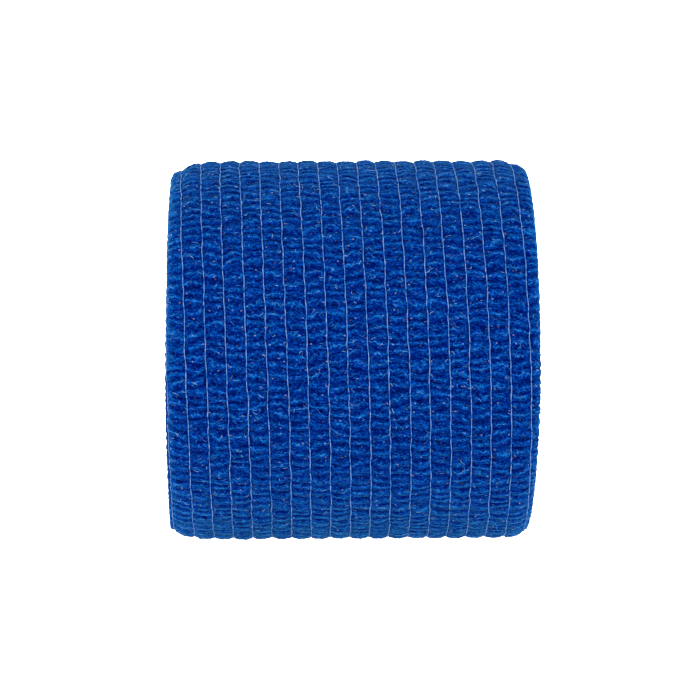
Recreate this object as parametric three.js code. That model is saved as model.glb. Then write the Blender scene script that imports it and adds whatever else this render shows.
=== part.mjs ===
// Cohesive bandage roll: one strip of crinkled elastic cloth wound on itself with no core, lying on its side.
// Millimetres, +Z up. The roll's axis runs along X and -Y is the front. The origin is the middle of the flat
// spot that the roll rests on.
import * as THREE from "three";

const DEGREE = Math.PI / 180;
const FULL_TURN = 2 * Math.PI;

// Driving dimensions of the wound form
const ROLL_WIDTH = 50; // end to end along the axis
const ROLL_RADIUS = 26.55; // axis to the ribs' crowns, halfway along the outer turn
const LAYER = 0.75; // one turn of crinkled cloth
const RIM_RADIUS = 1.1; // rounding where the outer turn bends over each end
const END_STEP = 0.6; // the inner turns' edges lie this far below the outer turn's edge
const FLAT_DEPTH = 0.65; // how far the underside is pressed flat

// Driving dimensions of the strip, measured across it over the rims from the roll's middle
const STRIP_LEFT = -26.4; // cut edge on the -X side
const STRIP_RIGHT = 26; // cut edge on the +X side
const EDGE_THREAD = -25.3; // elastic thread nearest the -X edge, just over the rim
const FIRST_THREAD = -22.3; // the next one
const THREAD_PITCH = 2.69; // from one elastic thread to the next
const THREAD_COUNT = 18; // from the first thread to the +X edge
const GROOVE_DEPTH = 0.35; // how far a thread draws the cloth in
const RIB_FULLNESS = 0.6; // below 1 gives flat crowns and narrow grooves
const UNEVENNESS = 0.1; // how much one crown stands above another
const CROWN_WAVES = [
  { share: 0.6, perTurn: 2, turnPerRib: 1.9 },
  { share: 0.4, perTurn: 5, turnPerRib: 4.3 },
];

// The strip is wound a little askew, so its threads swing sideways once a turn
const SKEW = 1.05;
const SKEW_BIAS = 0.15; // how much further they swing over the top than under the bottom
const SKEW_ZERO = 12 * DEGREE; // above the front

// The form falls off towards both rims all the way round
const EASE_DEPTH = 0.75;
const EASE_START = 21.5; // distance from the middle where the fall begins
const EASE_END = 26; // and where it is full

// Both rims sag a little more at the top, the -X one most, and that one is drawn in at the bottom too
const SAG_LEFT = 0.85;
const SAG_RIGHT = 0.37;
const DRAWN_IN_LEFT = 0.55;
const SAG_START = 19.5; // distance from the middle where the sag begins
const SAG_END = 24.5; // and where it is full
const SAG_TOP = 100 * DEGREE; // above the front
const DRAWN_IN_LOW = -80 * DEGREE;

// The ends are not quite square: the roll leans towards +X at the top and -X at the bottom
const LEAN = 0.25;

// The outer end is stuck down low at the back. Angles round the axis are from the top, over the front
const TAIL_ANGLE = 250 * DEGREE;
const TAIL_RAMP = 1.2 * DEGREE;

// An end face shows the strip's edges winding in to the eye, drawn as one ridge for every few real turns
const END_RIDGE_PITCH = 4.4;
const END_REACH = 21.5; // radius of the ridged face
const END_CREST_SUNK = 0.55; // below the outer turn's end
const END_VALLEY_SUNK = 1.15;
const EYE_SUNK = 2.2; // hollow at the middle where the first turn is folded

// How finely the form is divided
const COLUMNS = 48;
const RIB_FRACTIONS = [0, 0.16, 0.5, 0.84]; // rows of points between one thread and the next
const END_ROWS = 16; // rows of points from the eye to the rim of an end face

const HALF_WIDTH = ROLL_WIDTH / 2;
const HALF_STRAIGHT = HALF_WIDTH - RIM_RADIUS;
const RIM_ARC = (RIM_RADIUS * Math.PI) / 2;

// Angle of a column of points. The last interval is the short ramp at the strip's outer end
function columnAngle(column) {
  if (column === COLUMNS) {
    return TAIL_ANGLE;
  }
  return TAIL_ANGLE + (column * (FULL_TURN - TAIL_RAMP)) / (COLUMNS - 1);
}

// Share of a turn from the strip's outer end, along the winding
function turnShare(angle) {
  return (angle - TAIL_ANGLE) / FULL_TURN;
}

// The outer turn's radius shrinks by one layer from its outer end back to its start
function turnRadius(angle) {
  return ROLL_RADIUS + LAYER * (0.5 - turnShare(angle));
}

function riseAboveFront(angle) {
  return Math.PI / 2 - angle;
}

function sidewaysSwing(angle) {
  const swing = Math.sin(riseAboveFront(angle) - SKEW_ZERO);
  return -SKEW * (swing + SKEW_BIAS * swing * swing);
}

// 1 at a rise above the front, fading to 0 a quarter turn away
function nearness(angle, rise) {
  return Math.max(0, Math.cos(riseAboveFront(angle) - rise)) ** 2;
}

// How far the form falls towards its rims at a place along the roll
function rimDrop(place, angle) {
  const ease = EASE_DEPTH * THREE.MathUtils.smoothstep(Math.abs(place), EASE_START, EASE_END);
  const reach = THREE.MathUtils.smoothstep(Math.abs(place), SAG_START, SAG_END);
  const top = nearness(angle, SAG_TOP);
  const left = SAG_LEFT * top + DRAWN_IN_LEFT * nearness(angle, DRAWN_IN_LOW);
  return ease + reach * (place < 0 ? left : SAG_RIGHT * top);
}

// Slow rise and fall of a rib's crown along the turn, different for each rib
function crownUnevenness(rib, angle) {
  const wave = ({ share, perTurn, turnPerRib }) => share * Math.sin(perTurn * angle + turnPerRib * rib);
  return UNEVENNESS * CROWN_WAVES.map(wave).reduce((sum, height) => sum + height, 0);
}

// A point on the plain wound form, `across` it from the middle over the rims and `sunk` below its surface
function formPoint(across, sunk, radius) {
  const side = Math.sign(across);
  const over = Math.max(0, Math.abs(across) - HALF_STRAIGHT);
  const bend = Math.min(over, RIM_ARC) / RIM_RADIUS;
  const downTheEnd = Math.max(0, over - RIM_ARC);
  const level = side * (Math.min(Math.abs(across), HALF_STRAIGHT) + (RIM_RADIUS - sunk) * Math.sin(bend));
  const out = radius - RIM_RADIUS - downTheEnd + (RIM_RADIUS - sunk) * Math.cos(bend);
  return { out, level };
}

// Rows of points across the strip, from the -X edge to the +X edge, each with its rib and place on that rib
function stripRows() {
  const threads = Array.from({ length: THREAD_COUNT }, (_, k) => FIRST_THREAD + k * THREAD_PITCH);
  const bounds = [STRIP_LEFT, EDGE_THREAD, ...threads, STRIP_RIGHT];
  const rows = [];
  for (let rib = 0; rib + 1 < bounds.length; rib += 1) {
    for (const fraction of RIB_FRACTIONS) {
      rows.push({ rib, fraction, across: THREE.MathUtils.lerp(bounds[rib], bounds[rib + 1], fraction) });
    }
  }
  rows.push({ rib: THREAD_COUNT + 1, fraction: 1, across: STRIP_RIGHT });
  return rows;
}

function clothPoint(row, angle) {
  const crown = Math.pow(Math.sin(Math.PI * row.fraction), RIB_FULLNESS) || 0;
  const sunk = GROOVE_DEPTH * (1 - crown) - crownUnevenness(row.rib, angle) * crown;
  const place = row.across + sidewaysSwing(angle);
  return formPoint(place, sunk, turnRadius(angle) - rimDrop(place, angle));
}

// The step from the strip's cut edge down to the edges of the turns under it
function edgePoint(across, angle) {
  const place = across + sidewaysSwing(angle);
  return formPoint(place, END_STEP, turnRadius(angle) - rimDrop(place, angle));
}

// A point on an end face, whose ridge moves in by one pitch with each turn of the winding
function endPoint(row, side, angle) {
  const out = (END_REACH * (row + 1)) / END_ROWS;
  const wave = 0.5 - 0.5 * Math.cos(FULL_TURN * (out / END_RIDGE_PITCH + turnShare(angle)));
  return { out, level: side * (HALF_WIDTH - THREE.MathUtils.lerp(END_CREST_SUNK, END_VALLEY_SUNK, wave)) };
}

function eyePoint(side) {
  return { out: 0, level: side * (HALF_WIDTH - EYE_SUNK) };
}

// Every row of points from the eye of the -X end to the eye of the +X end, as functions of the angle
function wholeProfile() {
  const endRows = Array.from({ length: END_ROWS }, (_, row) => row);
  const leftEnd = endRows.map((row) => (angle) => endPoint(row, -1, angle));
  const rightEnd = endRows.map((row) => (angle) => endPoint(row, 1, angle));
  return [
    () => eyePoint(-1),
    ...leftEnd,
    (angle) => edgePoint(STRIP_LEFT, angle),
    ...stripRows().map((row) => (angle) => clothPoint(row, angle)),
    (angle) => edgePoint(STRIP_RIGHT, angle),
    ...rightEnd.reverse(),
    () => eyePoint(1),
  ];
}

// A lathe whose points are then moved to the ribs, the skew, the sag and the outer end's step
function woundForm(axisHeight) {
  const profile = wholeProfile();
  const plain = profile.map((place) => {
    const { out, level } = place(TAIL_ANGLE);
    return new THREE.Vector2(out, level);
  });
  const geometry = new THREE.LatheGeometry(plain, COLUMNS);
  const points = geometry.getAttribute("position");
  for (let column = 0; column <= COLUMNS; column += 1) {
    const angle = columnAngle(column);
    profile.forEach((place, row) => {
      const { out, level } = place(angle);
      const rise = out * Math.cos(angle);
      const along = level + (LEAN * rise) / ROLL_RADIUS;
      const height = Math.max(0, axisHeight + rise);
      points.setXYZ(column * profile.length + row, along, -out * Math.sin(angle), height);
    });
  }
  geometry.computeVertexNormals();
  return geometry;
}

const UNDERSIDE = Math.PI + FULL_TURN; // the bottom, on the outer turn
const AXIS_HEIGHT = turnRadius(UNDERSIDE) - FLAT_DEPTH;

const cloth = new THREE.MeshStandardMaterial({ color: 0x0d3e91, roughness: 0.95, metalness: 0 });
const roll = new THREE.Mesh(woundForm(AXIS_HEIGHT), cloth);
roll.name = "roll";

const bandageRoll = new THREE.Group();
bandageRoll.add(roll);

export default bandageRoll;
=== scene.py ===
"""Looks of the cohesive bandage roll: crinkled cloth, elastic threads, wound ends, light and camera."""
import math
from typing import NamedTuple

import bpy
import numpy as np
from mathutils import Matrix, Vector


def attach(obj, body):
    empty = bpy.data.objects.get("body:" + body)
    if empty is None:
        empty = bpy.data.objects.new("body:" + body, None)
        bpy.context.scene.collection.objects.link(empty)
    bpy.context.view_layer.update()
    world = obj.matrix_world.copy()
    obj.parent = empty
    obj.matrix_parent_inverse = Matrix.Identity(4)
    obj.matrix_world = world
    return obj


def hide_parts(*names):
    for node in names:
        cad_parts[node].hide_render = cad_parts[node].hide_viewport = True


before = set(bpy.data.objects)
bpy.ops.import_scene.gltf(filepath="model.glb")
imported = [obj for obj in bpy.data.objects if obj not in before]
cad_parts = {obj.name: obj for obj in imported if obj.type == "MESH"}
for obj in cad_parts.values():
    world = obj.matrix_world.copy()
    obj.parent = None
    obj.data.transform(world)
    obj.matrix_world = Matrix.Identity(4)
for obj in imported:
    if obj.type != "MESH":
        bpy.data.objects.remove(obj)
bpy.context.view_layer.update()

MM = 0.001
DEGREE = math.pi / 180
FULL_TURN = 2 * math.pi
WHITE = (1, 1, 1, 1)

# Noise lies on a lattice and is 0 at its corners, so what varies one way only is read between two lines
LATTICE = 512  # cells before it repeats
NOISE_GAIN = 1.5
MID_CELL = 0.5


class Ripple(NamedTuple):
    """Seeded smooth variation: its strength, and the size of its waves along and across the cloth."""
    seed: int
    strength: float
    along: float
    across: float = 1.0

    def at(self, along, across):
        return self.strength * noise(self.seed, along / self.along, across / self.across)


# Driving dimensions of the wound form, in millimetres as in the solid
ROLL_WIDTH = 50.0
ROLL_RADIUS = 26.55  # axis to the ribs' crowns, halfway along the outer turn
LAYER = 0.75  # one turn of crinkled cloth
RIM_RADIUS = 1.1
FLAT_DEPTH = 0.65  # how far the underside is pressed flat
HALF_STRAIGHT = ROLL_WIDTH / 2 - RIM_RADIUS
RIM_ARC = RIM_RADIUS * math.pi / 2

# The strip, measured across it over the rims from the roll's middle
STRIP_LEFT = -26.4
STRIP_RIGHT = 26.0
STRIP_WIDTH = STRIP_RIGHT - STRIP_LEFT
EDGE_THREAD = -25.3  # the thread nearest the -X edge, just over the rim
FIRST_THREAD = -22.3  # the next one
THREAD_PITCH = 2.69
THREAD_COUNT = 18
GROOVE_DEPTH = 0.35
RIB_FULLNESS = 0.6  # below 1 gives flat crowns and narrow grooves
CLOTH_THICKNESS = 0.66
THREADS = np.append(EDGE_THREAD, FIRST_THREAD + THREAD_PITCH * np.arange(THREAD_COUNT))
RIB_BOUNDS = np.concatenate([[STRIP_LEFT], THREADS, [STRIP_RIGHT]])


class CrownWave(NamedTuple):
    """Slow rise and fall of the ribs' crowns: its share, waves per turn, and its shift from rib to rib."""
    share: float
    per_turn: int
    turn_per_rib: float


UNEVENNESS = 0.1  # how much one crown stands above another
CROWN_WAVES = [
    CrownWave(share=0.6, per_turn=2, turn_per_rib=1.9),
    CrownWave(share=0.4, per_turn=5, turn_per_rib=4.3),
]

# The strip is wound a little askew, so its threads swing sideways once a turn
SKEW = 1.05
SKEW_BIAS = 0.15  # how much further they swing over the top than under the bottom
SKEW_ZERO = 12 * DEGREE  # above the front

# The form falls off towards both rims, sags more at the top, and its -X rim is drawn in at the bottom
EASE_DEPTH = 0.75
EASE_START = 21.5  # distance from the middle where the fall begins
EASE_END = 26.0  # and where it is full
SAG_LEFT = 0.85
SAG_RIGHT = 0.37
DRAWN_IN_LEFT = 0.55
SAG_START = 19.5  # distance from the middle where the sag begins
SAG_END = 24.5  # and where it is full
SAG_TOP = 100 * DEGREE  # above the front
DRAWN_IN_LOW = -80 * DEGREE
LEAN = 0.25  # of the ends, towards +X at the top

# The outer end is stuck down low at the back. Angles are from the top over the front, lengths from that end
TAIL_ANGLE = 250 * DEGREE
TURN_LENGTH = FULL_TURN * ROLL_RADIUS
TAIL_RAGGED = Ripple(seed=11, strength=0.25, along=1.7)
TAIL_RAGGED_REACH = 1.5
TUCK_SHARE = 0.02  # of a turn, hidden under the outer end
TUCK_DROP = 0.2  # how much lower it lies than the winding alone
TUCK_DROP_RANGE = (0.985, 0.997)  # of a turn
UNDERSIDE = 3 * math.pi  # the bottom, on the outer turn
REST_CLEARANCE = 0.02  # of the lowest cloth above the floor
PRESSED_RELIEF = 0.2  # share of the folds' depth that is left on the flat spot

# Folds between the threads. Their wander, arch, slant and ruffle are shifts counted in folds
FOLD_PITCH = 1.38  # where the folds lie closest
FOLD_FRONT = 78 * DEGREE  # and the angle of that place
FOLD_SPREAD = 0.08  # a quarter turn away, twice this share of the folds is missing
FOLD_DEPTH = 0.3
FOLD_SHARPNESS = 0.7  # below 1 gives narrow creases
FOLD_WANDER = Ripple(seed=1, strength=0.62, along=4.5)
WANDER_PER_RIB = 0.6  # below 1 makes neighbouring ribs a little alike
WANDER_START = 0.2  # the first rib's place on the noise
FOLD_ARCH = Ripple(seed=2, strength=0.5, along=2.6)
FOLD_SLANT = Ripple(seed=10, strength=0.9, along=2.8)
FOLD_RUFFLE = Ripple(seed=8, strength=0.1, along=0.8, across=0.7)
CREASE_MEAN = 0.85
CREASE_VARIES = Ripple(seed=3, strength=0.8, along=1.6, across=2.0)
CREASE_RANGE = (0.25, 1.25)
PINCH_AT_THREAD = 0.3  # share of the folds' depth that is left at a thread
LUMPS = [
    Ripple(seed=6, strength=0.07, along=2.6, across=2.2),
    Ripple(seed=7, strength=0.05, along=0.5, across=0.7),
]

# Finer folds among the main ones, in patches
FINE_FOLD_PITCH = 0.58
FINE_FOLD_DEPTH = 0.1
FINE_FOLD_SHARPNESS = 0.8
FINE_FOLD_WANDER = Ripple(seed=4, strength=0.6, along=1.1, across=1.2)
FINE_FOLD_MEAN = 0.4
FINE_FOLD_VARIES = Ripple(seed=5, strength=1.1, along=2.2, across=2.2)

# From about the line where it bends over a rim, the cloth is stretched smoother and painted paler, a painted
# light on the rims
SMOOTHED_RANGE = (0.6, 2.2)
SMOOTHED_GROOVE = 0.6  # share of the grooves that is lost
SMOOTHED_FOLDS = 0.55  # share of the folds that is lost
RIM_PAINTED_LIGHT_RANGE = (-0.6, 1.4)
RIM_PAINTED_LIGHT = 0.18

# Tones of the cloth, with painted shade beside the threads, in the crowns' middles and in the fine creases,
# and painted light on the fine ridges and the ribs' flanks, which add up to about 0 in the darkest places
# and 1 in the palest
FINE_FOLD_PAINTED_SHADING = 0.22
FINE_FOLD_MIDDLE = 0.6
THREAD_SHADE = 0.6
THREAD_SHADE_REACH = 0.32
FLANK_PAINTED_LIGHT = 0.5  # painted light: how much lighter a rib is by its threads
CROWN_SHADE = 0.125
QUIET_AT_THREAD = 0.45  # share of the folds' tones that is left at a thread
# Level of the painted highlight on the crests
CREST_MEAN = 0.7
CREST_VARIES = Ripple(seed=9, strength=0.9, along=0.9, across=1.3)
CREST_RANGE = (0.05, 1.3)

# How finely the outer turn is divided
FRONT_STEP = 0.137  # between columns where the cloth faces the front
BACK_STEP = 0.36
FRONT_FROM = 348 * DEGREE
FRONT_TO = 530 * DEGREE
RIB_FRACTIONS = np.array([0, 0.1, 0.36, 0.64, 0.9])  # rows between one thread and the next
# Rows of its plain inside, closer where it bends over the rims
SKIN_ROWS = np.array([STRIP_LEFT, -25.5, -24.7, -23.9, -22.0, 22.0, 23.9, 24.7, STRIP_RIGHT])
INSIDE_PAINTED_SHADE = -0.2  # painted shade on the inside, which lies against the turns below

# Inner turns
RIBBON_STEP = 0.18
RIBBON_THICKNESS = 0.6
EYE_RADIUS = 1.0
EDGE_LEVEL = 24.3  # half the width between the inner turns' edges
EDGE_BULGE = 0.2
LIP_CLEARANCE = 0.08  # under the outer turn bent over them
PRESS_REACH = 8.0  # how far in from the outside the flat spot is felt
SAG_REACH = 10.0  # and the sag of the rims
TURN_WOBBLE = Ripple(seed=21, strength=0.16, along=2.4, across=5.0)
STEP_WOBBLE = Ripple(seed=22, strength=0.035, along=0.8)
WOBBLE_RANGE = (0.7, 3.0)  # depth at which the wobble begins and is full
TURN_STAGGER = Ripple(seed=30, strength=0.3, along=1.7)  # of the edges, its waves in turns
EDGE_WAVES = Ripple(seed=31, strength=0.12, along=2.2)
EDGE_FRAY = Ripple(seed=32, strength=0.09, along=0.7)
RIGHT_END_SEEDS = 10  # added to those three on the +X end


class RibbonCorner(NamedTuple):
    """A corner of the inner turns' section: its end of the roll, its depth, its bulge and its looks."""
    side: int
    below: float  # share of the thickness
    bulge: float
    aside: float  # past the edge, in the cloth's own coordinates
    tone: float


# Each edge is lighter at its bulge and darker at the inside face, a painted shade in the gaps between turns
RIBBON = [
    RibbonCorner(side=-1, below=0.0, bulge=0.0, aside=0.0, tone=0.1),
    RibbonCorner(side=1, below=0.0, bulge=0.0, aside=0.0, tone=0.1),
    RibbonCorner(side=1, below=0.5, bulge=EDGE_BULGE, aside=0.3, tone=0.25),
    RibbonCorner(side=1, below=1.0, bulge=0.0, aside=0.6, tone=-0.35),
    RibbonCorner(side=-1, below=1.0, bulge=0.0, aside=0.6, tone=-0.35),
    RibbonCorner(side=-1, below=0.5, bulge=EDGE_BULGE, aside=0.3, tone=0.25),
]

# Threads
THREAD_RADIUS = 0.062
THREAD_TIP_RADIUS = 0.02
THREAD_SIDES = 5
THREAD_STEP = 0.25
THREAD_START = -0.3  # just past the outer end
THREAD_PROUD = 0.07  # of the thread's middle above the groove
THREAD_JITTER = Ripple(seed=50, strength=0.1, along=1.5)
THREAD_SWAY = Ripple(seed=51, strength=0.09, along=5.0)
THREAD_SWELL = Ripple(seed=52, strength=0.18, along=0.55)  # share of the radius
THREAD_RISE = Ripple(seed=53, strength=0.06, along=0.9)

# Loose fibres on the surface
FIBRE_SEED = 60
FIBRE_TRIES = 30000
FIBRE_COUNT = 11000
FIBRE_RINGS = 3
FIBRE_SIDES = 3
FIBRE_START = 0.5  # from the outer end
FIBRE_END = 0.99  # of a turn
FIBRE_MARGIN = 0.6  # from the cut edges
FIBRE_CREST = 0.08  # of a fold, the width of the crests that they favour
FIBRE_CHANCE = 0.25  # how much chance adds to the tone in choosing them
FIBRE_HEADING = 45 * DEGREE  # spread about straight across the strip
FIBRE_LENGTH = (0.3, 1.0)
FIBRE_CURL = 1.4  # spread of the turn from end to end, in radians
FIBRE_RADIUS = (0.022, 0.045)
FIBRE_LIFT = (0.0, 0.03)  # of the tips above the cloth
FIBRE_ARCH = 0.05  # four times the middle's height above the tips
FIBRE_CLEARANCE = 0.05  # above the floor

# The way out of the cloth is found from a second point this far out, nudged where the floor stops both
OUTWARD = 0.5
NUDGE = 1e-9

# Places on the flat map of a piece, from 0 to 1 each way
MAP_FILL = 0.9  # share that the shown faces take
MAP_GAP = 0.01
MAP_SKIN = 0.92
MAP_SKIN_BAND = 0.04
MAP_CUT_EDGES = (0.97, 0.98)
MAP_CUT_EDGE_BAND = 0.006
MAP_RIBBON_OUTSIDE = 0.52
MAP_RIBBON_INSIDE = 0.74
MAP_RIBBON_BAND = 0.2
MAP_SPOT = 0.99  # small spot shared by the ends' faces
MAP_SPOT_SIZE = 0.005


class Grain(NamedTuple):
    """Noise in a shader: its size along and across the cloth in millimetres, its detail and distortion."""
    along: float
    across: float
    detail: float
    distortion: float


# Looks of the cloth: its colours by tone, its grain and how much each grain adds to the tone
CLOTH_ROUGHNESS = 0.9
CLOTH_SHEEN = 0.2
CLOTH_SHEEN_TINT = (0.1, 0.8, 1.0, 1)
SHEEN_ROUGHNESS = 0.27
SPECULAR = 0.004
DARK_BLUE = (0.0, 0.0014, 0.038)
MID_BLUE = (0.0, 0.0085, 0.113)
LIGHT_BLUE = (0.0, 0.039, 0.225)
PALE_BLUE = (0.036, 0.097, 0.24)
CLOTH_COLOURS = [(0.0, DARK_BLUE), (0.42, MID_BLUE), (0.8, LIGHT_BLUE), (1.0, PALE_BLUE)]
STREAK = Grain(along=0.27, across=0.7, detail=1.0, distortion=1.0)
STREAK_WEIGHT = 1.4
FUZZ = Grain(along=0.2, across=0.27, detail=1.0, distortion=1.5)
FUZZ_WEIGHT = 1.65
MOTTLE = Grain(along=2.0, across=1.6, detail=2.0, distortion=0.0)
MOTTLE_WEIGHT = 0.12
TONE_SHIFT = -0.15
BUMP_STRENGTH = 0.75
BUMP_DEPTH = 0.12  # in millimetres
STREAK_BUMP = 0.6
FUZZ_BUMP = 0.6
STRAND_BUMP = 0.3

# Painted highlight on the folds' crests, partly paler fibres there, and painted shade in their creases,
# whose places are shares of a fold from the crest
FOLD_BASE_TONE = 0.49
CREST_PAINTED_HIGHLIGHT = 0.55
CREST_REACH = 0.13
CREASE_PAINTED_SHADE = -0.24
CREASE_START = 0.3
CREASE_RAMP = 0.2
ZIGZAG = Grain(along=0.8, across=0.6, detail=1.0, distortion=0.0)
ZIGZAG_SHIFT = 0.75  # of a fold, from one side to the other

# Strands: fine curved lines, more of them where the cloth is light. Their widths are in noise values
STRAND_BLUE = (0.003, 0.09, 0.25, 1)
BROAD_STRAND = Grain(along=0.4, across=0.6, detail=1.0, distortion=0.6)
BROAD_STRAND_WIDTH = 0.06
LONG_STRAND = Grain(along=0.3, across=0.85, detail=1.0, distortion=0.6)
LONG_STRAND_WIDTH = 0.05
STRAND_BY_TONE = 1.8
STRAND_BY_FUZZ = 1.4
STRAND_SHIFT = -1.25

# Specks: one place in each cell, pale in some cells as painted glints on tiny lint, dark in others and none
# in the rest
SPECK_CELL = (1.15, 1.5)  # along and across, in millimetres
SPECK_RADIUS = 0.075  # of a cell
GLINT_SPECK_ABOVE = 0.87
GLINT_SPECK = (0.22, 0.23, 0.34, 1)
GLINT_SPECK_COVER = 0.4
DARK_SPECK_BELOW = 0.22
DARK_SPECK = (0.05, 0.034, 0.045, 1)
DARK_SPECK_COVER = 0.75

# Looks of the threads and the fibres
YARN_ROUGHNESS = 0.8
BARE_THREAD = (0.117, 0.19, 0.343)
HALF_COVERED_THREAD = (0.047, 0.122, 0.302)
COVERED_THREAD = (0.004, 0.054, 0.233)
THREAD_COLOURS = [(0.34, BARE_THREAD), (0.52, HALF_COVERED_THREAD), (0.64, COVERED_THREAD)]
THREAD_COVER = Grain(along=0.6, across=0.6, detail=3.0, distortion=0.0)
DARK_FIBRE = (0.0, 0.03, 0.19)
BLUE_FIBRE = (0.002, 0.065, 0.25)
LIGHT_FIBRE = (0.04, 0.14, 0.31)
WORN_FIBRE = (0.16, 0.25, 0.39)
FIBRE_COLOURS = [(0.0, DARK_FIBRE), (0.6, BLUE_FIBRE), (0.9, LIGHT_FIBRE), (1.0, WORN_FIBRE)]

# Colour sockets of Blender's Mix node, by number because its names repeat
MIX_FACTOR = 0
MIX_FIRST = 6
MIX_SECOND = 7
MIX_RESULT = 2

# Room, in metres. The pale floor glows, most of all in a stripe under the roll
FLOOR_SIZE = 6.0
FLOOR_HEIGHT = -0.0001
FLOOR_COLOUR = (0.93, 0.93, 0.94, 1)
FLOOR_ROUGHNESS = 0.9
GLOW_UNDER = 2.3  # its strength under the roll
GLOW_UNDER_TO = 0.010  # and how far that reaches to the front and the back
GLOW_AWAY = 1.1  # its strength elsewhere
GLOW_AWAY_FROM = 0.024  # and where that begins
WORLD_STRENGTH = 1.1


class Lamp(NamedTuple):
    """A soft rectangular light aimed at the roll: its place and size, and its power in watts."""
    name: str
    place: tuple
    size: tuple
    power: float


LAMPS = [
    Lamp("overhead", place=(0.0, -0.25, 0.75), size=(0.5, 0.35), power=8.3),
    Lamp("front_fill", place=(-0.12, -0.55, 0.035), size=(0.9, 0.06), power=0.75),
    Lamp("left", place=(-0.55, -0.15, 0.15), size=(0.3, 0.5), power=1.2),
    Lamp("right", place=(0.55, -0.15, 0.15), size=(0.3, 0.5), power=1.2),
    Lamp("back", place=(0.0, 0.6, 0.36), size=(0.6, 0.3), power=5.0),
]

# Camera: the photo's frame is 700 pixels square
FRAME_PIXELS = 700
FOCAL_PIXELS = 3240
SENSOR_MM = 36.0
CLIP_START = 0.01  # in metres
CAMERA_DISTANCE = 455.0  # in millimetres
CAMERA_AZIMUTH = -1.3 * DEGREE
CAMERA_ELEVATION = 12 * DEGREE
ROLL_MIDDLE_PIXEL = (349.0, 351.0)  # right and down, where the photo shows it


# Noise and plain formulas
def noise(seed, x, y):
    """Smooth noise of about -1 to 1 on a unit lattice, the same for the same seed."""
    turns = np.random.default_rng(seed).uniform(0, FULL_TURN, (LATTICE, LATTICE))
    x, y = np.broadcast_arrays(np.asarray(x, float), np.asarray(y, float))
    column, row = np.floor(x).astype(int), np.floor(y).astype(int)
    right, up = x - column, y - row

    def corner(i, j):
        turn = turns[(column + i) % LATTICE, (row + j) % LATTICE]
        return np.cos(turn) * (right - i) + np.sin(turn) * (up - j)

    to_right, to_top = smoothstep(right, 0, 1), smoothstep(up, 0, 1)
    low = corner(0, 0) * (1 - to_right) + corner(1, 0) * to_right
    high = corner(0, 1) * (1 - to_right) + corner(1, 1) * to_right
    return NOISE_GAIN * (low * (1 - to_top) + high * to_top)


def smoothstep(x, low, high):
    t = np.clip((x - low) / (high - low), 0, 1)
    return t * t * (3 - 2 * t)


def bell(distance, width):
    return np.exp(-(distance / width) ** 2)


def unit(vectors):
    return vectors / np.linalg.norm(vectors, axis=1, keepdims=True)


# Wound form
def turn_radius(share):
    """Radius of the winding at a share of turns from the outer end, one layer less with each turn."""
    return ROLL_RADIUS + LAYER * (0.5 - share)


AXIS_HEIGHT = turn_radius((UNDERSIDE - TAIL_ANGLE) / FULL_TURN) - FLAT_DEPTH
ROLL_MIDDLE = Vector((0, 0, AXIS_HEIGHT)) * MM


def angle_at(along):
    return TAIL_ANGLE + FULL_TURN * along / TURN_LENGTH


def rise_above_front(angle):
    return math.pi / 2 - angle


def sideways_swing(angle):
    swing = np.sin(rise_above_front(angle) - SKEW_ZERO)
    return -SKEW * (swing + SKEW_BIAS * swing * swing)


def nearness(angle, rise):
    """1 at a rise above the front, fading to 0 a quarter turn away."""
    return np.maximum(0, np.cos(rise_above_front(angle) - rise)) ** 2


def rim_drop(place, angle):
    """How far the form falls towards its rims, all the way round and more at the top and the bottom left."""
    ease = EASE_DEPTH * smoothstep(np.abs(place), EASE_START, EASE_END)
    reach = smoothstep(np.abs(place), SAG_START, SAG_END)
    top = nearness(angle, SAG_TOP)
    left = SAG_LEFT * top + DRAWN_IN_LEFT * nearness(angle, DRAWN_IN_LOW)
    return ease + reach * np.where(place < 0, left, SAG_RIGHT * top)


def form_point(across, sunk, radius):
    """Distance out from the axis and place along it, for a point over the rims and below the plain form."""
    side = np.sign(across)
    over = np.maximum(0, np.abs(across) - HALF_STRAIGHT)
    bend = np.minimum(over, RIM_ARC) / RIM_RADIUS
    down_the_end = np.maximum(0, over - RIM_ARC)
    level = side * (np.minimum(np.abs(across), HALF_STRAIGHT) + (RIM_RADIUS - sunk) * np.sin(bend))
    out = radius - RIM_RADIUS - down_the_end + (RIM_RADIUS - sunk) * np.cos(bend)
    return out, level


def lay_on_form(along, across, sunk, clearance=REST_CLEARANCE):
    """Points of the outer turn, pressed flat where it rests, as an array of x, y, z in metres."""
    share = along / TURN_LENGTH
    angle = TAIL_ANGLE + FULL_TURN * share
    tucked = TUCK_DROP * smoothstep(share, *TUCK_DROP_RANGE)
    place = across + sideways_swing(angle)
    radius = turn_radius(share) - rim_drop(place, angle) - tucked
    out, level = form_point(place, sunk, radius)
    rise = out * np.cos(angle)
    pressed = clearance + PRESSED_RELIEF * np.maximum(sunk, 0)
    height = np.maximum(AXIS_HEIGHT + rise, pressed)
    level = level + LEAN * rise / ROLL_RADIUS
    return np.stack(np.broadcast_arrays(level, -out * np.sin(angle), height), axis=-1) * MM


# Relief and tones of the cloth
def rib_place(across):
    """A point's rib, its share of the way across it, and its crown: 1 in the middle and 0 at the threads."""
    rib = np.clip(np.searchsorted(RIB_BOUNDS, across, side="right") - 1, 0, len(RIB_BOUNDS) - 2)
    share = (across - RIB_BOUNDS[rib]) / (RIB_BOUNDS[rib + 1] - RIB_BOUNDS[rib])
    crown = np.sin(math.pi * np.clip(share, 0, 1)) ** RIB_FULLNESS
    return rib, share, crown


def crown_unevenness(rib, angle):
    waves = [wave.share * np.sin(wave.per_turn * angle + wave.turn_per_rib * rib) for wave in CROWN_WAVES]
    return UNEVENNESS * sum(waves)


def fading_to_thread(crown, left):
    """1 on a rib's crown, falling to what is left at the threads."""
    return left + (1 - left) * crown


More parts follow.
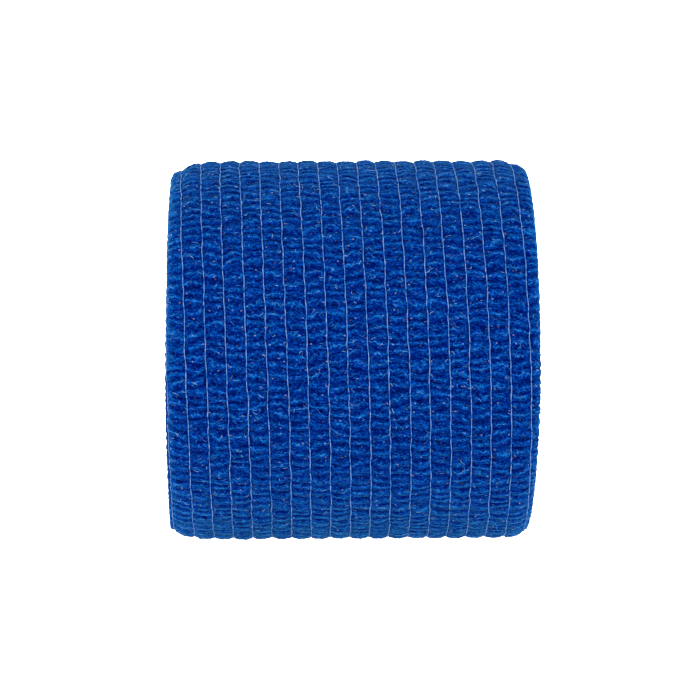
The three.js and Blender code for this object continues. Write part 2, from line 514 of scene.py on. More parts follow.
def past_rim(along, across, start, end):
    """0 on the roll's outside, rising to 1 between two distances past the line where the cloth bends."""
    place = np.abs(across + sideways_swing(angle_at(along)))
    return smoothstep(place, HALF_STRAIGHT + start, HALF_STRAIGHT + end)


def fold_wave(phase, sharpness):
    """0 in a crease and 1 on the ridge between two creases."""
    return np.abs(np.sin(math.pi * phase)) ** sharpness


def fold_phase(along, across, rib, share):
    """Counts the folds along a rib. They wander, arch and slant, each rib in its own way."""
    off_front = angle_at(along) - FOLD_FRONT
    laid = along - FOLD_SPREAD * (along - ROLL_RADIUS / 2 * np.sin(2 * off_front))
    wander = FOLD_WANDER.at(along, WANDER_PER_RIB * rib + WANDER_START)
    arch = FOLD_ARCH.at(along, rib + MID_CELL) * (1 - (2 * share - 1) ** 2)
    slant = FOLD_SLANT.at(along, rib + MID_CELL) * (share - 0.5)
    return laid / FOLD_PITCH + wander + arch + slant + FOLD_RUFFLE.at(along, across)


def crease_strength(along, across):
    return np.clip(CREASE_MEAN + CREASE_VARIES.at(along, across), *CREASE_RANGE)


def fine_folds(along, across):
    """The fine folds' height, from 0 in a crease to 1 on a ridge, and their strength."""
    phase = along / FINE_FOLD_PITCH + FINE_FOLD_WANDER.at(along, across)
    strength = np.clip(FINE_FOLD_MEAN + FINE_FOLD_VARIES.at(along, across), 0, 1)
    return fold_wave(phase, FINE_FOLD_SHARPNESS), strength


def cloth_relief(along, across):
    """How far the cloth lies below its plain form, in its grooves, folds and lumps."""
    rib, share, crown = rib_place(across)
    fold = fold_wave(fold_phase(along, across, rib, share), FOLD_SHARPNESS)
    fine, fine_strength = fine_folds(along, across)
    folds = FOLD_DEPTH * crease_strength(along, across) * (1 - fold)
    folds = folds + FINE_FOLD_DEPTH * fine_strength * (1 - fine)
    lumps = sum(lump.at(along, across) for lump in LUMPS)
    smoothed = past_rim(along, across, *SMOOTHED_RANGE)
    groove = GROOVE_DEPTH * (1 - SMOOTHED_GROOVE * smoothed)
    uneven = crown_unevenness(rib, angle_at(along))
    pinch = fading_to_thread(crown, PINCH_AT_THREAD)
    return groove * (1 - crown) - uneven * crown + pinch * (folds + lumps) * (1 - SMOOTHED_FOLDS * smoothed)


def cloth_tones(along, across):
    """The cloth's tone before its folds' crests and creases, with painted shade beside the threads, in the
    crowns' middles and in the fine creases and painted light on the fine ridges, the ribs' flanks and the
    rims; and its folds' count along the rib, crease shade strength and crest highlight level.
    """
    rib, share, crown = rib_place(across)
    fine, fine_strength = fine_folds(along, across)
    fine_fold_shading = fine_strength * (fine - FINE_FOLD_MIDDLE)
    beside = np.abs(across[..., None] - THREADS).min(axis=-1)
    shade = bell(beside, THREAD_SHADE_REACH)
    painted_flank_light = FLANK_PAINTED_LIGHT * (2 * share - 1) ** 2 - CROWN_SHADE
    # painted light on the rims, paler where the cloth bends over them
    painted_rim_light = RIM_PAINTED_LIGHT * past_rim(along, across, *RIM_PAINTED_LIGHT_RANGE)
    tone = FINE_FOLD_PAINTED_SHADING * fine_fold_shading - THREAD_SHADE * shade + painted_flank_light + painted_rim_light
    quiet = fading_to_thread(crown, QUIET_AT_THREAD)
    crest_highlight_level = np.clip(CREST_MEAN + CREST_VARIES.at(along, across), *CREST_RANGE)
    count = fold_phase(along, across, rib, share)
    return tone, np.stack([count, quiet * crease_strength(along, across), quiet * crest_highlight_level], axis=-1)


# Meshes from arrays
def outward(points, faces, places):
    """The faces of a closed mesh and their places on its map, turned over if the mesh is inside out."""
    a, b, c = np.moveaxis(points[np.concatenate([face[:, :3] for face in faces])], 1, 0)
    if np.einsum("ij,ij->", a, np.cross(b, c)) < 0:
        faces = [face[:, ::-1] for face in faces]
        places = [place[:, ::-1] for place in places]
    return faces, places


def add_piece(name, points, faces, places, material, attributes):
    """A mesh object from arrays, with its faces' places on a flat map and its named point attributes."""
    points = points.reshape(-1, 3)
    faces, places = outward(points, faces, places)
    corners = np.concatenate([face.ravel() for face in faces])
    sizes = np.concatenate([np.full(len(face), face.shape[1]) for face in faces])
    starts = np.concatenate([[0], np.cumsum(sizes)[:-1]])
    mesh = bpy.data.meshes.new(name)
    mesh.vertices.add(len(points))
    mesh.vertices.foreach_set("co", points.astype(np.float32).ravel())
    mesh.loops.add(len(corners))
    mesh.loops.foreach_set("vertex_index", corners.astype(np.int32))
    mesh.polygons.add(len(sizes))
    mesh.polygons.foreach_set("loop_start", starts.astype(np.int32))
    mesh.polygons.foreach_set("loop_total", sizes.astype(np.int32))
    mesh.update(calc_edges=True)
    mesh.shade_smooth()
    flat_map = mesh.uv_layers.new(name="OFBake")
    flat_map.uv.foreach_set("vector", np.concatenate([place.astype(np.float32).ravel() for place in places]))
    for key, values in attributes.items():
        kind, field = ("FLOAT_VECTOR", "vector") if values.ndim == 2 else ("FLOAT", "value")
        layer = mesh.attributes.new(key, kind, "POINT")
        layer.data.foreach_set(field, values.astype(np.float32).ravel())
    mesh.materials.append(material)
    piece = bpy.data.objects.new(name, mesh)
    bpy.context.scene.collection.objects.link(piece)
    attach(piece, "root")
    return piece


def grid_faces(columns, rows, first=0):
    """Quads of a grid of points stored column by column."""
    i, j = np.meshgrid(np.arange(columns - 1), np.arange(rows - 1), indexing="ij")
    corner = first + i * rows + j
    return np.stack([corner, corner + rows, corner + rows + 1, corner + 1], axis=-1).reshape(-1, 4)


def stitch(line_a, place_a, line_b, place_b):
    """Triangles between two rows of points that run the same way, matched by their places."""
    faces = []
    i = j = 0
    while i + 1 < len(line_a) or j + 1 < len(line_b):
        next_a = place_a[i + 1] if i + 1 < len(line_a) else math.inf
        next_b = place_b[j + 1] if j + 1 < len(line_b) else math.inf
        if next_a <= next_b:
            faces.append((line_a[i], line_a[i + 1], line_b[j]))
            i += 1
        else:
            faces.append((line_a[i], line_b[j + 1], line_b[j]))
            j += 1
    return np.array(faces)


def ring_round(aside, up, sides):
    """Directions round each of many paths, from one direction aside and one up."""
    turn = FULL_TURN * np.arange(sides) / sides
    return np.cos(turn)[None, :, None] * aside[:, None, :] + np.sin(turn)[None, :, None] * up[:, None, :]


# Outer turn
def outer_columns():
    """Places along the strip of the outer turn's columns, from its outer end to the tuck under it."""
    front = [(angle - TAIL_ANGLE) / FULL_TURN * TURN_LENGTH for angle in (FRONT_FROM, FRONT_TO)]
    stops = [0, *front, (1 + TUCK_SHARE) * TURN_LENGTH]
    runs = []
    for start, end, step in zip(stops, stops[1:], [BACK_STEP, FRONT_STEP, BACK_STEP]):
        runs.append(np.linspace(start, end, round((end - start) / step), endpoint=False))
    return np.concatenate(runs + [[stops[-1]]])


def halves_map(count, across_share):
    """Map places of the outside's quads, the first half of its columns beside the second."""
    halfway = count // 2
    around = np.interp(np.arange(count), [0, halfway, count - 1], [0, 1, 2])
    ahead, aside = np.meshgrid(around, across_share, indexing="ij")
    quads = grid_faces(count, len(across_share))
    second = np.repeat(np.arange(count - 1) >= halfway, len(across_share) - 1)[:, None]
    u = MAP_GAP + (0.5 - 2 * MAP_GAP) * aside.ravel()[quads] + 0.5 * second
    v = MAP_FILL * (ahead.ravel()[quads] - second)
    return np.stack([u, v], axis=-1)


def outer_turn_map(columns, rows, ends):
    """Map places of the outer turn's faces: its outside, its inside, its two cut edges and its two ends."""
    count = len(columns)
    turn_share = columns / columns[-1]
    ahead, aside = np.meshgrid(turn_share, (SKIN_ROWS - STRIP_LEFT) / STRIP_WIDTH, indexing="ij")
    skin = np.stack([ahead, MAP_SKIN + MAP_SKIN_BAND * aside], axis=-1).reshape(-1, 2)
    inside = skin[grid_faces(count, len(SKIN_ROWS))][:, ::-1]
    places = [halves_map(count, (rows - STRIP_LEFT) / STRIP_WIDTH), inside]
    for band in MAP_CUT_EDGES:
        low = np.stack([turn_share, np.full(count, band)], axis=-1)
        high = low + np.array([0, MAP_CUT_EDGE_BAND])
        places.append(np.stack([low[:-1], high[:-1], high[1:], low[1:]], axis=1))
    for faces in ends:
        places.append(np.full((len(faces), 3, 2), MAP_SPOT) + MAP_SPOT_SIZE * np.eye(3)[:, :2])
    return places


def build_outer_turn(material):
    """The last turn as a closed thin sheet: crinkled outside, plain inside and cut edges between them."""
    columns = outer_columns()
    ribs = RIB_BOUNDS[:-1, None] + np.diff(RIB_BOUNDS)[:, None] * RIB_FRACTIONS
    rows = np.append(ribs.ravel(), STRIP_RIGHT)
    along, across = np.meshgrid(columns, rows, indexing="ij")
    along = along + TAIL_RAGGED.at(across, MID_CELL) * np.exp(-along / TAIL_RAGGED_REACH)
    skin_along, skin_across = np.meshgrid(columns, SKIN_ROWS, indexing="ij")
    outside = lay_on_form(along, across, cloth_relief(along, across))
    inside = lay_on_form(skin_along, skin_across, CLOTH_THICKNESS)
    count, wide, thin = len(columns), len(rows), len(SKIN_ROWS)
    outer_ids = np.arange(count * wide).reshape(count, wide)
    inner_ids = outer_ids.size + np.arange(count * thin).reshape(count, thin)
    left = np.stack([outer_ids[1:, 0], inner_ids[1:, 0], inner_ids[:-1, 0], outer_ids[:-1, 0]], axis=-1)
    right = np.stack([inner_ids[:-1, -1], inner_ids[1:, -1], outer_ids[1:, -1], outer_ids[:-1, -1]], axis=-1)
    ends = [
        stitch(outer_ids[0], rows, inner_ids[0], SKIN_ROWS)[:, ::-1],
        stitch(outer_ids[-1], rows, inner_ids[-1], SKIN_ROWS),
    ]
    inside_faces = grid_faces(count, thin, outer_ids.size)[:, ::-1]
    faces = [grid_faces(count, wide), inside_faces, left, right, *ends]
    tone, folds = cloth_tones(along, across)
    outside_strip = np.stack([along, across, tone], axis=-1)
    inside_strip = np.stack([skin_along, skin_across, np.full_like(skin_along, INSIDE_PAINTED_SHADE)], axis=-1)
    attributes = {
        "strip": np.concatenate([outside_strip.reshape(-1, 3), inside_strip.reshape(-1, 3)]),
        "fold": np.concatenate([folds.reshape(-1, 3), np.zeros((skin_along.size, 3))]),
    }
    points = np.concatenate([outside.reshape(-1, 3), inside.reshape(-1, 3)])
    return add_piece("outer_turn", points, faces, outer_turn_map(columns, rows, ends), material, attributes)


# Inner turns
def ribbon_steps():
    """Turns and lengths from the outer end, for each of the even steps along the inner turns."""
    outer = ROLL_RADIUS + LAYER / 2

    def length_to(share):
        return FULL_TURN * (outer * share - LAYER * share * share / 2)

    lengths = np.arange(length_to(1 + TUCK_SHARE), length_to((outer - EYE_RADIUS) / LAYER), RIBBON_STEP)
    root = np.sqrt(outer * outer - 2 * LAYER * lengths / FULL_TURN)
    return (outer - root) / LAYER, lengths


def rim_limit(depth):
    """How far from the middle an inner edge may reach at a depth below the outer turn's plain form."""
    hollow = RIM_RADIUS - CLOTH_THICKNESS
    rise = np.clip(RIM_RADIUS - depth, 0, hollow)
    return HALF_STRAIGHT + np.sqrt(hollow * hollow - rise * rise) - LIP_CLEARANCE


def ragged_edge(side, share, length):
    """How far an edge stands out past its level: from turn to turn, in waves and where it frays."""
    added = RIGHT_END_SEEDS if side > 0 else 0
    stagger, waves, fray = [r._replace(seed=r.seed + added) for r in (TURN_STAGGER, EDGE_WAVES, EDGE_FRAY)]
    return stagger.at(share, MID_CELL) + waves.at(length, MID_CELL) + fray.at(length, MID_CELL)


def ribbon_line(corner, share, length):
    """Points of the line that one corner of the section follows in to the eye."""
    angle = TAIL_ANGLE + FULL_TURN * share
    top = turn_radius(share)
    outer_here = turn_radius(share % 1)
    wobble = TURN_WOBBLE.at(angle * top, top) + STEP_WOBBLE.at(length, MID_CELL)
    wobble = wobble * smoothstep(outer_here - top, *WOBBLE_RANGE)
    radius = top - corner.below * RIBBON_THICKNESS + wobble
    depth = outer_here - radius
    place = np.full_like(angle, corner.side * EDGE_LEVEL)
    out = radius - rim_drop(place, angle) * np.clip(1 - depth / SAG_REACH, 0, 1)
    edge = np.minimum(EDGE_LEVEL + corner.bulge + ragged_edge(corner.side, share, length), rim_limit(depth))
    press = FLAT_DEPTH * np.clip(1 - depth / PRESS_REACH, 0, 1)
    lowest = AXIS_HEIGHT - (radius - press)
    rise = out * np.cos(angle)
    height = np.maximum(AXIS_HEIGHT + rise, lowest)
    level = corner.side * edge + LEAN * rise / ROLL_RADIUS
    return np.stack([level, -out * np.sin(angle), height], axis=-1) * MM


def ribbon_map(points, length):
    """Map places of the ribbon: its edges as they lie on their end of the roll, its faces in bands."""
    count, around = points.shape[:2]
    disc = points[:, :, 1:] / MM - np.array([0, AXIS_HEIGHT])
    disc = 0.25 + disc * (0.5 - 2 * MAP_GAP) / (2 * ROLL_RADIUS + LAYER)
    inward = (length - length[0]) / (length[-1] - length[0])
    places = np.zeros((count - 1, around, 4, 2))
    for j, corner in enumerate(RIBBON):
        after = (j + 1) % around
        if corner.side == RIBBON[after].side:
            edge = np.stack([disc[:-1, j], disc[1:, j], disc[1:, after], disc[:-1, after]], axis=1)
            places[:, j] = edge + np.array([0.5 if corner.side > 0 else 0, 0])
        else:
            band = MAP_RIBBON_INSIDE if corner.below else MAP_RIBBON_OUTSIDE
            low = np.stack([inward, np.full(count, band)], axis=-1)
            high = low + np.array([0, MAP_RIBBON_BAND])
            places[:, j] = np.stack([low[:-1], low[1:], high[1:], high[:-1]], axis=1)
    caps = np.full((2, around, 2), MAP_SPOT) + MAP_SPOT_SIZE * disc[:2]
    return [places.reshape(-1, 4, 2), caps]


def build_inner_turns(material):
    """The strip wound from under the outer turn in to the eye, as one closed ribbon with ragged edges."""
    share, length = ribbon_steps()
    points = np.stack([ribbon_line(corner, share, length) for corner in RIBBON], axis=1)
    count, around = len(share), len(RIBBON)
    ids = np.arange(count * around).reshape(count, around)
    after = np.roll(ids, -1, axis=1)
    quads = np.stack([ids[:-1], ids[1:], after[1:], after[:-1]], axis=-1).reshape(-1, 4)
    caps = np.stack([ids[0], ids[-1][::-1]])
    along = np.repeat(length[:, None], around, axis=1)
    across = np.tile([corner.side * (EDGE_LEVEL + corner.aside) for corner in RIBBON], (count, 1))
    tone = np.tile([corner.tone for corner in RIBBON], (count, 1))
    strip = np.stack([along, across, tone], axis=-1).reshape(-1, 3)
    places = ribbon_map(points, length)
    return add_piece("inner_turns", points, [quads, caps], places, material, {"strip": strip})


# Threads
def tube_points(path, out, radius):
    """Rings of points round a thread's path, given the direction that points out of the cloth along it."""
    ahead = unit(np.gradient(path, axis=0))
    aside = unit(np.cross(ahead, out))
    return path[:, None, :] + radius[:, None, None] * ring_round(aside, np.cross(aside, ahead), THREAD_SIDES)


def thread_faces(first, rings):
    """Faces of one thread's side and of its two ends, from its first point."""
    ids = first + np.arange(rings * THREAD_SIDES).reshape(rings, THREAD_SIDES)
    after = np.roll(ids, -1, axis=1)
    side = np.stack([ids[:-1], after[:-1], after[1:], ids[1:]], axis=-1).reshape(-1, 4)
    return [side, np.stack([ids[0][::-1], ids[-1]])]


def thread_map(number, rings):
    """Map places of those faces, in a band for each thread."""
    turn = np.arange(THREAD_SIDES + 1) / THREAD_SIDES
    u, v = np.meshgrid((number + MAP_FILL * turn) / len(THREADS), np.linspace(0, 1, rings))
    grid = np.stack([u, v], axis=-1)
    side = np.stack([grid[:-1, :-1], grid[:-1, 1:], grid[1:, 1:], grid[1:, :-1]], axis=2)
    return [side.reshape(-1, 4, 2), np.stack([grid[0, :-1], grid[-1, :-1]])]


def build_threads(material):
    """The elastic threads of the outer turn, each lying half buried in its groove."""
    along = np.arange(THREAD_START, (1 + TUCK_SHARE / 2) * TURN_LENGTH, THREAD_STEP)
    rings = len(along)
    points, faces, places, strips = [], [], [], []
    for number, place in enumerate(THREADS):
        own = number + MID_CELL
        across = place + THREAD_JITTER.at(along, own) + THREAD_SWAY.at(along, own)
        sunk = cloth_relief(along, np.full_like(along, place)) - THREAD_PROUD + THREAD_RISE.at(along, own)
        path = lay_on_form(along, across, sunk, THREAD_RADIUS)
        out = lay_on_form(along, across, sunk - OUTWARD, THREAD_RADIUS) - path
        out[:, 2] += NUDGE
        radius = THREAD_RADIUS * (1 + THREAD_SWELL.at(along, own)) * MM
        radius[0] = radius[-1] = THREAD_TIP_RADIUS * MM
        points.append(tube_points(path, out, radius).reshape(-1, 3))
        faces += thread_faces(number * rings * THREAD_SIDES, rings)
        places += thread_map(number, rings)
        strip = np.stack([along, across, np.zeros(rings)], axis=-1)
        strips.append(np.repeat(strip, THREAD_SIDES, axis=0))
    attributes = {"strip": np.concatenate(strips)}
    return add_piece("threads", np.concatenate(points), faces, places, material, attributes)


# Loose fibres
def choose_fibres(rng):
    """Where the fibres lie along and across the strip, most of them where the cloth is light."""
    along = rng.uniform(FIBRE_START, TURN_LENGTH * FIBRE_END, FIBRE_TRIES)
    across = rng.uniform(STRIP_LEFT + FIBRE_MARGIN, STRIP_RIGHT - FIBRE_MARGIN, FIBRE_TRIES)
    tone, folds = cloth_tones(along, across)
    crest = bell(folds[:, 0] % 1 - 0.5, FIBRE_CREST) * folds[:, 2]
    lightest = np.argsort(tone + crest + rng.normal(0, FIBRE_CHANCE, FIBRE_TRIES))[-FIBRE_COUNT:]
    return along[lightest], across[lightest]


def fibre_faces(points_each):
    """Faces of every fibre, its tips first, and their places on the map in a cell for each fibre."""
    base = np.arange(FIBRE_COUNT)[:, None] * points_each
    cells = math.ceil(math.sqrt(FIBRE_COUNT))
    cell = np.stack(np.divmod(np.arange(FIBRE_COUNT), cells), axis=-1)[:, None, :]
    tips, quads, tip_places, quad_places = [], [], [], []

    def in_cell(*corners):
        return (cell + MAP_FILL * np.array(corners) / (FIBRE_SIDES, FIBRE_RINGS + 1)) / cells

    last = points_each - 1
    last_ring = last - FIBRE_SIDES
    for s in range(FIBRE_SIDES):
        t = (s + 1) % FIBRE_SIDES
        tips.append(base + np.array([[0, 1 + t, 1 + s]]))
        tip_places.append(in_cell((s + 0.5, 0), (s + 1, 1), (s, 1)))
        tips.append(base + np.array([[last, last_ring + s, last_ring + t]]))
        tip_places.append(in_cell((s + 0.5, FIBRE_RINGS + 1), (s, FIBRE_RINGS), (s + 1, FIBRE_RINGS)))
        for ring in range(FIBRE_RINGS - 1):
            low = 1 + ring * FIBRE_SIDES
            high = low + FIBRE_SIDES
            quads.append(base + np.array([[low + s, low + t, high + t, high + s]]))
            quad_places.append(in_cell((s, ring + 1), (s + 1, ring + 1), (s + 1, ring + 2), (s, ring + 2)))
    faces = [np.concatenate(tips), np.concatenate(quads)]
    return faces, [np.concatenate(tip_places), np.concatenate(quad_places)]


def build_fibres(material):
    """Short fibres of the cloth that lie proud of its folds, each a thin closed spindle."""
    rng = np.random.default_rng(FIBRE_SEED)
    along, across = choose_fibres(rng)
    heading = rng.normal(0, FIBRE_HEADING, FIBRE_COUNT)
    length = rng.uniform(*FIBRE_LENGTH, FIBRE_COUNT)
    curl = rng.normal(0, FIBRE_CURL, FIBRE_COUNT)
    radius = rng.uniform(*FIBRE_RADIUS, FIBRE_COUNT) * MM
    shade = rng.uniform(0, 1, FIBRE_COUNT)
    lift = rng.uniform(*FIBRE_LIFT, FIBRE_COUNT)

    def laid(station, raised=0.0):
        """A point of every fibre, at a station from -0.5 to 0.5 of its length."""
        turned = heading + curl * station
        here_along = along + np.sin(turned) * length * station
        here_across = across + np.cos(turned) * length * station
        arch = lift + FIBRE_ARCH * (0.25 - station * station)
        sunk = cloth_relief(here_along, here_across) - arch
        return lay_on_form(here_along, here_across, sunk - raised, FIBRE_CLEARANCE)

    path = np.stack([laid(station) for station in np.linspace(-0.5, 0.5, FIBRE_RINGS + 2)], axis=1)
    ahead = unit(path[:, -1] - path[:, 0])
    aside = unit(np.cross(ahead, laid(0.0, OUTWARD) - laid(0.0)))
    ring = ring_round(aside, np.cross(aside, ahead), FIBRE_SIDES)
    rings = path[:, 1:-1, None, :] + radius[:, None, None, None] * ring[:, None, :, :]
    points = np.concatenate([path[:, :1], rings.reshape(FIBRE_COUNT, -1, 3), path[:, -1:]], axis=1)
    points_each = points.shape[1]
    faces, places = fibre_faces(points_each)
    return add_piece("fibres", points, faces, places, material, {"shade": np.repeat(shade, points_each)})


# Shader nodes
def new_material(name, roughness):
    """A material with its node tree and its shader, ready for a colour."""
    material = bpy.data.materials.new(name)
    material.use_nodes = True
    shader = material.node_tree.nodes["Principled BSDF"]
    shader.inputs["Roughness"].default_value = roughness
    shader.inputs["Specular IOR Level"].default_value = SPECULAR
    return material, material.node_tree, shader


def node(tree, kind, inputs=(), **settings):
    """A shader node with its settings, its constant inputs and its links."""
    made = tree.nodes.new(kind)
    for key, value in settings.items():
        setattr(made, key, value)
    for key, value in dict(inputs).items():
        socket = made.inputs[key]
        if isinstance(value, bpy.types.NodeSocket):
            tree.links.new(value, socket)
        else:
            socket.default_value = value
    return made


def attribute_parts(tree, name):
    """The three numbers that the mesh holds under a name."""
    attribute = node(tree, "ShaderNodeAttribute", attribute_name=name)
    parts = node(tree, "ShaderNodeSeparateXYZ", {"Vector": attribute.outputs["Vector"]})
    return [parts.outputs[axis] for axis in "XYZ"]


def math_node(tree, operation, first, second=0.0, clamp=False):
    made = node(tree, "ShaderNodeMath", {0: first, 1: second}, operation=operation, use_clamp=clamp)
    return made.outputs[0]


def weighted_sum(tree, terms, offset=0.0):
    """A sum of outputs times weights, plus an offset."""
    total = offset
    for output, weight in terms:
        total = math_node(tree, "ADD", math_node(tree, "MULTIPLY", output, weight), total)
    return total


def distance_from(tree, value, middle):
    return math_node(tree, "ABSOLUTE", math_node(tree, "SUBTRACT", value, middle))


def falling(tree, distance, reach):
    """1 at no distance, falling evenly to 0 at the reach."""
    return math_node(tree, "SUBTRACT", 1.0, math_node(tree, "DIVIDE", distance, reach), clamp=True)


def mix(tree, factor, first, second):
    """A colour between two others."""
    inputs = {MIX_FACTOR: factor, MIX_FIRST: first, MIX_SECOND: second}
    return node(tree, "ShaderNodeMix", inputs, data_type="RGBA").outputs[MIX_RESULT]


def ramp(tree, factor, stops):
    """A colour ramp from a list of place and colour."""
    made = node(tree, "ShaderNodeValToRGB", {"Fac": factor})
    elements = made.color_ramp.elements
    while len(elements) < len(stops):
        elements.new(0.5)
    for element, (place, colour) in zip(elements, stops):
        element.position = place
        element.color = (*colour, 1)
    return made.outputs["Color"]


def scaled_place(tree, along, across, along_size, across_size):
    """Texture coordinates in which one unit is along_size by across_size millimetres of cloth."""
    x = math_node(tree, "DIVIDE", along, along_size)
    y = math_node(tree, "DIVIDE", across, across_size)
    return node(tree, "ShaderNodeCombineXYZ", {"X": x, "Y": y}).outputs[0]


def grain_texture(tree, along, across, grain):
    """Noise from 0 to 1 over the cloth's own coordinates."""
    place = scaled_place(tree, along, across, grain.along, grain.across)
    inputs = {"Vector": place, "Scale": 1.0, "Detail": grain.detail, "Distortion": grain.distortion}
    return node(tree, "ShaderNodeTexNoise", inputs).outputs["Fac"]


def thin_lines(tree, along, across, grain, width):
    """Thin curved lines where a smooth noise passes through its middle value, 1 on the line."""
    swell = grain_texture(tree, along, across, grain)
    return falling(tree, distance_from(tree, swell, 0.5), width)


# Materials
def fold_tone(tree, along, across):
    """Painted highlight on the crests, which run in a fine zigzag, and painted shade in the creases between
    them.
    """
    count, crease_shade_strength, crest_highlight_level = attribute_parts(tree, "fold")
    zigzag = grain_texture(tree, along, across, ZIGZAG)
    phase = weighted_sum(tree, [(count, 1.0), (zigzag, ZIGZAG_SHIFT)], -ZIGZAG_SHIFT / 2)
    off_crest = distance_from(tree, math_node(tree, "FRACT", phase), 0.5)
    crest = falling(tree, off_crest, CREST_REACH)
    past_start = math_node(tree, "SUBTRACT", off_crest, CREASE_START)
    crease = math_node(tree, "DIVIDE", past_start, CREASE_RAMP, clamp=True)
    # painted highlight along the crests and painted shade in the creases
    light = math_node(tree, "MULTIPLY", crest, crest_highlight_level)
    dark = math_node(tree, "MULTIPLY", crease, crease_shade_strength)
    return weighted_sum(tree, [(light, CREST_PAINTED_HIGHLIGHT), (dark, CREASE_PAINTED_SHADE)], FOLD_BASE_TONE)


def add_specks(tree, along, across, colour):
    """The cloth's colour with a few pale specks, painted glints on tiny lint, and dark specks on it."""
    cells = scaled_place(tree, along, across, *SPECK_CELL)
    specks = node(tree, "ShaderNodeTexVoronoi", {"Vector": cells, "Scale": 1.0}, voronoi_dimensions="2D")
    chosen = node(tree, "ShaderNodeSeparateColor", {"Color": specks.outputs["Color"]}).outputs[0]
    near = math_node(tree, "LESS_THAN", specks.outputs["Distance"], SPECK_RADIUS)
    # pale specks are painted glints on tiny lint
    pale = math_node(tree, "MULTIPLY", near, math_node(tree, "GREATER_THAN", chosen, GLINT_SPECK_ABOVE))
    dark = math_node(tree, "MULTIPLY", near, math_node(tree, "LESS_THAN", chosen, DARK_SPECK_BELOW))
    colour = mix(tree, math_node(tree, "MULTIPLY", pale, GLINT_SPECK_COVER), colour, GLINT_SPECK)
    return mix(tree, math_node(tree, "MULTIPLY", dark, DARK_SPECK_COVER), colour, DARK_SPECK)


def cloth_material():
    """Crinkled nonwoven: painted shade in the creases, painted highlight on the ridges, fine fibres, specks
    with painted glints and a faint sheen.
    """
    material, tree, shader = new_material("crinkled_cloth", CLOTH_ROUGHNESS)
    shader.inputs["Sheen Weight"].default_value = CLOTH_SHEEN
    shader.inputs["Sheen Roughness"].default_value = SHEEN_ROUGHNESS
    shader.inputs["Sheen Tint"].default_value = CLOTH_SHEEN_TINT
    along, across, tone_with_painted_shading = attribute_parts(tree, "strip")
    tone = math_node(tree, "ADD", tone_with_painted_shading, fold_tone(tree, along, across))
    streak, fuzz, mottle = [grain_texture(tree, along, across, grain) for grain in (STREAK, FUZZ, MOTTLE)]
    grains = [(streak, STREAK_WEIGHT), (fuzz, FUZZ_WEIGHT), (mottle, MOTTLE_WEIGHT)]
    shift = TONE_SHIFT - (STREAK_WEIGHT + FUZZ_WEIGHT + MOTTLE_WEIGHT) / 2
    colour = ramp(tree, weighted_sum(tree, [(tone, 1.0), *grains], shift), CLOTH_COLOURS)
    broad = thin_lines(tree, along, across, BROAD_STRAND, BROAD_STRAND_WIDTH)
    long = thin_lines(tree, along, across, LONG_STRAND, LONG_STRAND_WIDTH)
    strands = math_node(tree, "MAXIMUM", broad, long)
    shown = weighted_sum(tree, [(tone, STRAND_BY_TONE), (fuzz, STRAND_BY_FUZZ)], STRAND_SHIFT)
    colour = mix(tree, math_node(tree, "MULTIPLY", strands, shown, clamp=True), colour, STRAND_BLUE)
    tree.links.new(add_specks(tree, along, across, colour), shader.inputs["Base Color"])
    relief = weighted_sum(tree, [(streak, STREAK_BUMP), (fuzz, FUZZ_BUMP), (strands, STRAND_BUMP)])
    inputs = {"Strength": BUMP_STRENGTH, "Distance": BUMP_DEPTH * MM, "Height": relief}
    bump = node(tree, "ShaderNodeBump", inputs)
    tree.links.new(bump.outputs["Normal"], shader.inputs["Normal"])
    return material


def thread_material():
    """Pale elastic thread, here and there covered by the cloth's blue fibres."""
    material, tree, shader = new_material("elastic_thread", YARN_ROUGHNESS)
    along, across, _ = attribute_parts(tree, "strip")
    cover = grain_texture(tree, along, across, THREAD_COVER)
    tree.links.new(ramp(tree, cover, THREAD_COLOURS), shader.inputs["Base Color"])
    return material


def fibre_material():
    """Single fibres, from the cloth's own blue to a pale, rubbed blue."""
    material, tree, shader = new_material("loose_fibre", YARN_ROUGHNESS)
    shade = node(tree, "ShaderNodeAttribute", attribute_name="shade").outputs["Fac"]
    tree.links.new(ramp(tree, shade, FIBRE_COLOURS), shader.inputs["Base Color"])
    return material


# Room, light and camera
def build_floor():
    bpy.ops.mesh.primitive_plane_add(size=FLOOR_SIZE, location=(0, 0, FLOOR_HEIGHT))
    floor = bpy.context.object
    floor.name = "floor"
    material, tree, shader = new_material("pale_floor", FLOOR_ROUGHNESS)
    shader.inputs["Base Color"].default_value = FLOOR_COLOUR
    shader.inputs["Emission Color"].default_value = WHITE
    place = node(tree, "ShaderNodeTexCoord").outputs["Object"]
    ahead = node(tree, "ShaderNodeSeparateXYZ", {"Vector": place}).outputs["Y"]
    away = math_node(tree, "ABSOLUTE", ahead)
    span = {"From Min": GLOW_UNDER_TO, "From Max": GLOW_AWAY_FROM, "To Min": GLOW_UNDER, "To Max": GLOW_AWAY}
    glow = node(tree, "ShaderNodeMapRange", {"Value": away, **span}).outputs["Result"]
    tree.links.new(glow, shader.inputs["Emission Strength"])
    floor.data.materials.append(material)


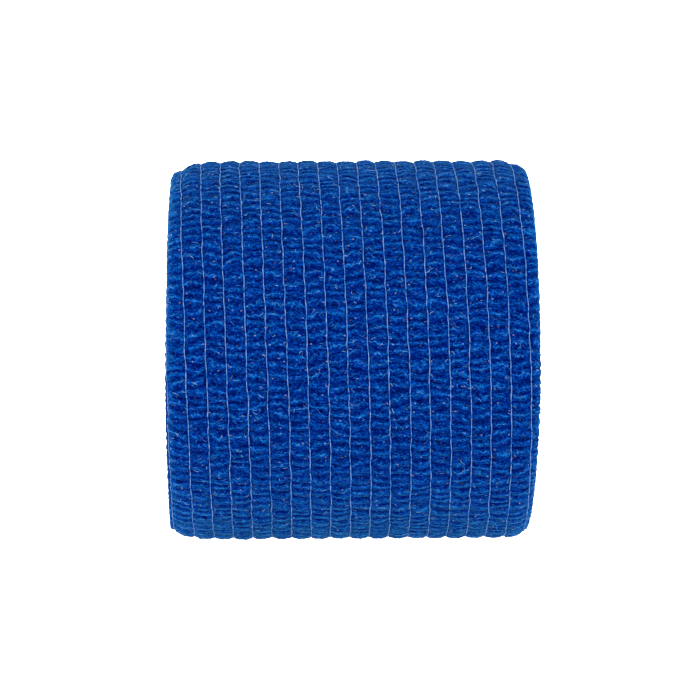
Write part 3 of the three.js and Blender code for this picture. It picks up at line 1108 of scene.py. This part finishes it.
def add_lamp(lamp):
    light = bpy.data.lights.new(lamp.name, "AREA")
    light.shape = "RECTANGLE"
    light.size, light.size_y = lamp.size
    light.energy = lamp.power
    lit = bpy.data.objects.new(lamp.name, light)
    lit.location = lamp.place
    lit.rotation_euler = (ROLL_MIDDLE - Vector(lamp.place)).to_track_quat("-Z", "Y").to_euler()
    bpy.context.scene.collection.objects.link(lit)


def build_light():
    world = bpy.data.worlds.new("studio")
    bpy.context.scene.world = world
    world.use_nodes = True
    background = world.node_tree.nodes["Background"]
    background.inputs["Color"].default_value = WHITE
    background.inputs["Strength"].default_value = WORLD_STRENGTH
    for lamp in LAMPS:
        add_lamp(lamp)


def build_camera():
    """A camera that sees the roll's middle at its pixel of the photo."""
    flat = math.cos(CAMERA_ELEVATION)
    aside, ahead = math.sin(CAMERA_AZIMUTH) * flat, math.cos(CAMERA_AZIMUTH) * flat
    back = Vector((aside, -ahead, math.sin(CAMERA_ELEVATION)))
    camera = bpy.data.cameras.new("camera")
    camera.sensor_width = SENSOR_MM
    camera.lens = FOCAL_PIXELS * SENSOR_MM / FRAME_PIXELS
    camera.clip_start = CLIP_START
    eye = bpy.data.objects.new("camera", camera)
    turn = (-back).to_track_quat("-Z", "Y")
    per_pixel = CAMERA_DISTANCE * MM / FOCAL_PIXELS
    right, up = turn @ Vector((1, 0, 0)), turn @ Vector((0, 1, 0))
    offset = right * (FRAME_PIXELS / 2 - ROLL_MIDDLE_PIXEL[0]) * per_pixel
    offset += up * (ROLL_MIDDLE_PIXEL[1] - FRAME_PIXELS / 2) * per_pixel
    eye.location = ROLL_MIDDLE + back * CAMERA_DISTANCE * MM + offset
    eye.rotation_euler = turn.to_euler()
    bpy.context.scene.collection.objects.link(eye)
    bpy.context.scene.camera = eye


build_camera()
cloth = cloth_material()
outer_turn = build_outer_turn(cloth)
inner_turns = build_inner_turns(cloth)
threads = build_threads(thread_material())
fibres = build_fibres(fibre_material())
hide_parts("roll")
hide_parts("roll")

_, ribbon_lengths = ribbon_steps()

build_floor()
build_light()
bpy.context.scene.view_settings.view_transform = "Standard"
